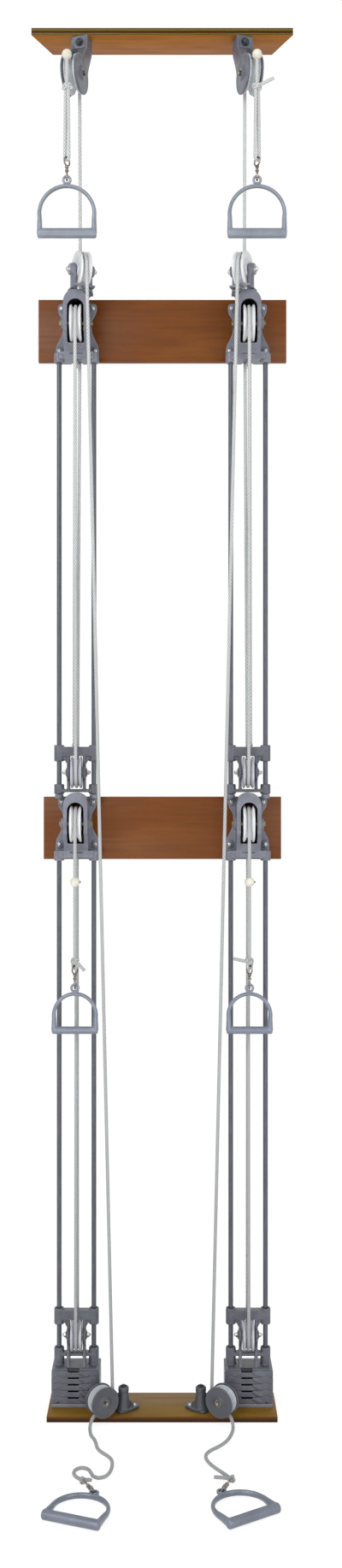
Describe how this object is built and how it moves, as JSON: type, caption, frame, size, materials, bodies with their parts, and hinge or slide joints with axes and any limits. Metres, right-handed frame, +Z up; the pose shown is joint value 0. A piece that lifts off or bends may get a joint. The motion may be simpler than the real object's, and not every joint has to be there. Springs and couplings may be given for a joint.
{
  "type": "wall pulley weight stack",
  "caption": "Wall-mounted pulley exerciser: two mirrored columns with overhead, chest and floor handles on ropes that lift weight carriages along rods.",
  "frame": {"origin": "centre of the chest wall board's back face, 1.201 m above the floor", "axes": "+Z up along the columns, +Y into the wall, the user stands at -Y, +X to the user's right as they face the wall"},
  "size_m": [0.537, 0.5418, 2.8425],
  "materials": {
    "grey_enamel": "hammered satin enamel",
    "dark_enamel": "hammered satin enamel",
    "white_nylon": "satin",
    "grey_nylon": "satin",
    "rope": "braided",
    "silver_plastic": "metallic silver, satin",
    "chrome": "polished",
    "varnished_wood": "gloss varnish",
    "plywood": "gloss varnish"
  },
  "bodies": {
    "wall_frame": {"top_board": "plywood", "upper_wall_board": "varnished_wood", "chest_wall_board": "varnished_wood", "base_board": "plywood", "upper_bracket_and_rods_left": "grey_enamel", "upper_bracket_and_rods_right": "grey_enamel", "chest_bracket_left": "grey_enamel", "chest_bracket_right": "grey_enamel", "guide_yoke_left": "grey_enamel", "guide_yoke_right": "grey_enamel", "overhead_block_left": "grey_enamel", "overhead_block_right": "grey_enamel", "floor_block_left": "grey_enamel", "floor_block_right": "grey_enamel", "foot_block_and_rods_left": "grey_enamel", "foot_block_and_rods_right": "grey_enamel", "overhead_rope_left": "rope", "overhead_rope_right": "rope", "chest_rope_left": "rope", "chest_rope_right": "rope", "floor_rope_left": "rope", "floor_rope_right": "rope", "floor_tail_left": "rope", "floor_tail_right": "rope", "floor_hook_and_handle_left": "silver_plastic", "floor_hook_and_handle_right": "silver_plastic"},
    "guide_sheave_left": {"guide_sheave_left": "white_nylon"},
    "overhead_sheave_left": {"overhead_sheave_left": "grey_nylon"},
    "floor_sheave_left": {"floor_sheave_left": "grey_nylon"},
    "upper_bracket_sheave_left": {"upper_bracket_sheave_left": "white_nylon"},
    "chest_bracket_sheave_left": {"chest_bracket_sheave_left": "white_nylon"},
    "upper_carriage_sheave_left": {"upper_carriage_sheave_left": "white_nylon"},
    "chest_carriage_sheave_left": {"chest_carriage_sheave_left": "white_nylon"},
    "upper_carriage_left": {"upper_carriage_left": "dark_enamel"},
    "chest_carriage_left": {"chest_carriage_left": "dark_enamel"},
    "weight_plate_1_left": {"weight_plate_1_left": "dark_enamel"},
    "weight_plate_2_left": {"weight_plate_2_left": "dark_enamel"},
    "weight_plate_3_left": {"weight_plate_3_left": "dark_enamel"},
    "weight_plate_4_left": {"weight_plate_4_left": "dark_enamel"},
    "overhead_hook_left": {"overhead_hook_left": "chrome"},
    "overhead_handle_left": {"overhead_handle_left": "silver_plastic"},
    "chest_hook_left": {"chest_hook_left": "chrome"},
    "chest_handle_left": {"chest_handle_left": "silver_plastic"},
    "guide_sheave_right": {"guide_sheave_right": "white_nylon"},
    "overhead_sheave_right": {"overhead_sheave_right": "grey_nylon"},
    "floor_sheave_right": {"floor_sheave_right": "grey_nylon"},
    "upper_bracket_sheave_right": {"upper_bracket_sheave_right": "white_nylon"},
    "chest_bracket_sheave_right": {"chest_bracket_sheave_right": "white_nylon"},
    "upper_carriage_sheave_right": {"upper_carriage_sheave_right": "white_nylon"},
    "chest_carriage_sheave_right": {"chest_carriage_sheave_right": "white_nylon"},
    "upper_carriage_right": {"upper_carriage_right": "dark_enamel"},
    "chest_carriage_right": {"chest_carriage_right": "dark_enamel"},
    "weight_plate_1_right": {"weight_plate_1_right": "dark_enamel"},
    "weight_plate_2_right": {"weight_plate_2_right": "dark_enamel"},
    "weight_plate_3_right": {"weight_plate_3_right": "dark_enamel"},
    "weight_plate_4_right": {"weight_plate_4_right": "dark_enamel"},
    "overhead_hook_right": {"overhead_hook_right": "chrome"},
    "overhead_handle_right": {"overhead_handle_right": "silver_plastic"},
    "chest_hook_right": {"chest_hook_right": "chrome"},
    "chest_handle_right": {"chest_handle_right": "silver_plastic"}
  },
  "joints": [
    {"name": "upper_lift_left", "type": "slide", "parent": "wall_frame", "child": "upper_carriage_left", "axis": [0, 0, 1], "range_m": [0, 0.775], "deforming": ["overhead_rope_left", "floor_rope_left"]},
    {"name": "overhead_pull_left", "type": "slide", "parent": "wall_frame", "child": "overhead_hook_left", "axis": [0, 0, -1], "range_m": [0, 1.55], "deforming": ["overhead_rope_left"]},
    {"name": "overhead_handle_swing_left", "type": "hinge", "parent": "overhead_hook_left", "child": "overhead_handle_left", "pos_m": [-0.18994, -0.15455, 1.3052], "axis": [1, 0, 0], "range_deg": [-70, 0]},
    {"name": "overhead_sheave_turn_left", "type": "hinge", "parent": "wall_frame", "child": "overhead_sheave_left", "pos_m": [-0.178, -0.11, 1.531], "axis": [0.9659, -0.2588, 0], "continuous": true},
    {"name": "upper_carriage_sheave_turn_left", "type": "hinge", "parent": "upper_carriage_left", "child": "upper_carriage_sheave_left", "pos_m": [-0.178, -0.042, 0.116], "axis": [1, 0, 0], "continuous": true},
    {"name": "upper_bracket_sheave_turn_left", "type": "hinge", "parent": "wall_frame", "child": "upper_bracket_sheave_left", "pos_m": [-0.178, -0.06, 1.042], "axis": [1, 0, 0], "continuous": true},
    {"name": "chest_lift_left", "type": "slide", "parent": "wall_frame", "child": "chest_carriage_left", "axis": [0, 0, 1], "range_m": [0, 0.33], "deforming": ["chest_rope_left"]},
    {"name": "chest_pull_left", "type": "slide", "parent": "wall_frame", "child": "chest_hook_left", "axis": [0, 0, -1], "range_m": [0, 0.66], "deforming": ["chest_rope_left"]},
    {"name": "chest_handle_swing_left", "type": "hinge", "parent": "chest_hook_left", "child": "chest_handle_left", "pos_m": [-0.178, -0.0935, -0.3168], "axis": [1, 0, 0], "range_deg": [-70, 0]},
    {"name": "chest_bracket_sheave_turn_left", "type": "hinge", "parent": "wall_frame", "child": "chest_bracket_sheave_left", "pos_m": [-0.178, -0.06, 0.01], "axis": [1, 0, 0], "continuous": true},
    {"name": "chest_carriage_sheave_turn_left", "type": "hinge", "parent": "chest_carriage_left", "child": "chest_carriage_sheave_left", "pos_m": [-0.178, -0.042, -1.051], "axis": [1, 0, 0], "continuous": true},
    {"name": "weight_plate_1_lift_left", "type": "slide", "parent": "wall_frame", "child": "weight_plate_1_left", "axis": [0, 0, 1], "range_m": [0, 0.33]},
    {"name": "weight_plate_2_lift_left", "type": "slide", "parent": "wall_frame", "child": "weight_plate_2_left", "axis": [0, 0, 1], "range_m": [0, 0.33]},
    {"name": "weight_plate_3_lift_left", "type": "slide", "parent": "wall_frame", "child": "weight_plate_3_left", "axis": [0, 0, 1], "range_m": [0, 0.33]},
    {"name": "weight_plate_4_lift_left", "type": "slide", "parent": "wall_frame", "child": "weight_plate_4_left", "axis": [0, 0, 1], "range_m": [0, 0.33]},
    {"name": "guide_sheave_turn_left", "type": "hinge", "parent": "wall_frame", "child": "guide_sheave_left", "pos_m": [-0.166, -0.075, 1.146], "axis": [0.9272, 0.3746, 0], "continuous": true},
    {"name": "floor_sheave_turn_left", "type": "hinge", "parent": "wall_frame", "child": "floor_sheave_left", "pos_m": [-0.121, -0.118, -1.155], "axis": [-0.515, 0.8572, 0], "continuous": true},
    {"name": "upper_lift_right", "type": "slide", "parent": "wall_frame", "child": "upper_carriage_right", "axis": [0, 0, 1], "range_m": [0, 0.775], "deforming": ["overhead_rope_right", "floor_rope_right"]},
    {"name": "overhead_pull_right", "type": "slide", "parent": "wall_frame", "child": "overhead_hook_right", "axis": [0, 0, -1], "range_m": [0, 1.55], "deforming": ["overhead_rope_right"]},
    {"name": "overhead_handle_swing_right", "type": "hinge", "parent": "overhead_hook_right", "child": "overhead_handle_right", "pos_m": [0.18994, -0.15455, 1.3052], "axis": [1, 0, 0], "range_deg": [-70, 0]},
    {"name": "overhead_sheave_turn_right", "type": "hinge", "parent": "wall_frame", "child": "overhead_sheave_right", "pos_m": [0.178, -0.11, 1.531], "axis": [0.9659, 0.2588, 0], "continuous": true},
    {"name": "upper_carriage_sheave_turn_right", "type": "hinge", "parent": "upper_carriage_right", "child": "upper_carriage_sheave_right", "pos_m": [0.178, -0.042, 0.116], "axis": [1, 0, 0], "continuous": true},
    {"name": "upper_bracket_sheave_turn_right", "type": "hinge", "parent": "wall_frame", "child": "upper_bracket_sheave_right", "pos_m": [0.178, -0.06, 1.042], "axis": [1, 0, 0], "continuous": true},
    {"name": "chest_lift_right", "type": "slide", "parent": "wall_frame", "child": "chest_carriage_right", "axis": [0, 0, 1], "range_m": [0, 0.33], "deforming": ["chest_rope_right"]},
    {"name": "chest_pull_right", "type": "slide", "parent": "wall_frame", "child": "chest_hook_right", "axis": [0, 0, -1], "range_m": [0, 0.66], "deforming": ["chest_rope_right"]},
    {"name": "chest_handle_swing_right", "type": "hinge", "parent": "chest_hook_right", "child": "chest_handle_right", "pos_m": [0.178, -0.0935, -0.3168], "axis": [1, 0, 0], "range_deg": [-70, 0]},
    {"name": "chest_bracket_sheave_turn_right", "type": "hinge", "parent": "wall_frame", "child": "chest_bracket_sheave_right", "pos_m": [0.178, -0.06, 0.01], "axis": [1, 0, 0], "continuous": true},
    {"name": "chest_carriage_sheave_turn_right", "type": "hinge", "parent": "chest_carriage_right", "child": "chest_carriage_sheave_right", "pos_m": [0.178, -0.042, -1.051], "axis": [1, 0, 0], "continuous": true},
    {"name": "weight_plate_1_lift_right", "type": "slide", "parent": "wall_frame", "child": "weight_plate_1_right", "axis": [0, 0, 1], "range_m": [0, 0.33]},
    {"name": "weight_plate_2_lift_right", "type": "slide", "parent": "wall_frame", "child": "weight_plate_2_right", "axis": [0, 0, 1], "range_m": [0, 0.33]},
    {"name": "weight_plate_3_lift_right", "type": "slide", "parent": "wall_frame", "child": "weight_plate_3_right", "axis": [0, 0, 1], "range_m": [0, 0.33]},
    {"name": "weight_plate_4_lift_right", "type": "slide", "parent": "wall_frame", "child": "weight_plate_4_right", "axis": [0, 0, 1], "range_m": [0, 0.33]},
    {"name": "guide_sheave_turn_right", "type": "hinge", "parent": "wall_frame", "child": "guide_sheave_right", "pos_m": [0.166, -0.075, 1.146], "axis": [0.9272, -0.3746, 0], "continuous": true},
    {"name": "floor_sheave_turn_right", "type": "hinge", "parent": "wall_frame", "child": "floor_sheave_right", "pos_m": [0.121, -0.118, -1.155], "axis": [-0.515, -0.8572, 0], "continuous": true}
  ],
  "couplings": [
    {"joint": "overhead_pull_left", "follows": "upper_lift_left", "ratio": 2},
    {"joint": "overhead_sheave_turn_left", "follows": "upper_lift_left", "rad_per_m": 59.702},
    {"joint": "upper_carriage_sheave_turn_left", "follows": "upper_lift_left", "rad_per_m": 34.483},
    {"joint": "chest_pull_left", "follows": "chest_lift_left", "ratio": 2},
    {"joint": "chest_bracket_sheave_turn_left", "follows": "chest_lift_left", "rad_per_m": 59.702},
    {"joint": "chest_carriage_sheave_turn_left", "follows": "chest_lift_left", "rad_per_m": 34.483},
    {"joint": "weight_plate_1_lift_left", "follows": "chest_lift_left", "ratio": 1},
    {"joint": "weight_plate_2_lift_left", "follows": "chest_lift_left", "ratio": 1},
    {"joint": "weight_plate_3_lift_left", "follows": "chest_lift_left", "ratio": 1},
    {"joint": "weight_plate_4_lift_left", "follows": "chest_lift_left", "ratio": 1},
    {"joint": "overhead_pull_right", "follows": "upper_lift_right", "ratio": 2},
    {"joint": "overhead_sheave_turn_right", "follows": "upper_lift_right", "rad_per_m": 59.702},
    {"joint": "upper_carriage_sheave_turn_right", "follows": "upper_lift_right", "rad_per_m": 34.483},
    {"joint": "chest_pull_right", "follows": "chest_lift_right", "ratio": 2},
    {"joint": "chest_bracket_sheave_turn_right", "follows": "chest_lift_right", "rad_per_m": 59.702},
    {"joint": "chest_carriage_sheave_turn_right", "follows": "chest_lift_right", "rad_per_m": 34.483},
    {"joint": "weight_plate_1_lift_right", "follows": "chest_lift_right", "ratio": 1},
    {"joint": "weight_plate_2_lift_right", "follows": "chest_lift_right", "ratio": 1},
    {"joint": "weight_plate_3_lift_right", "follows": "chest_lift_right", "ratio": 1},
    {"joint": "weight_plate_4_lift_right", "follows": "chest_lift_right", "ratio": 1}
  ]
}
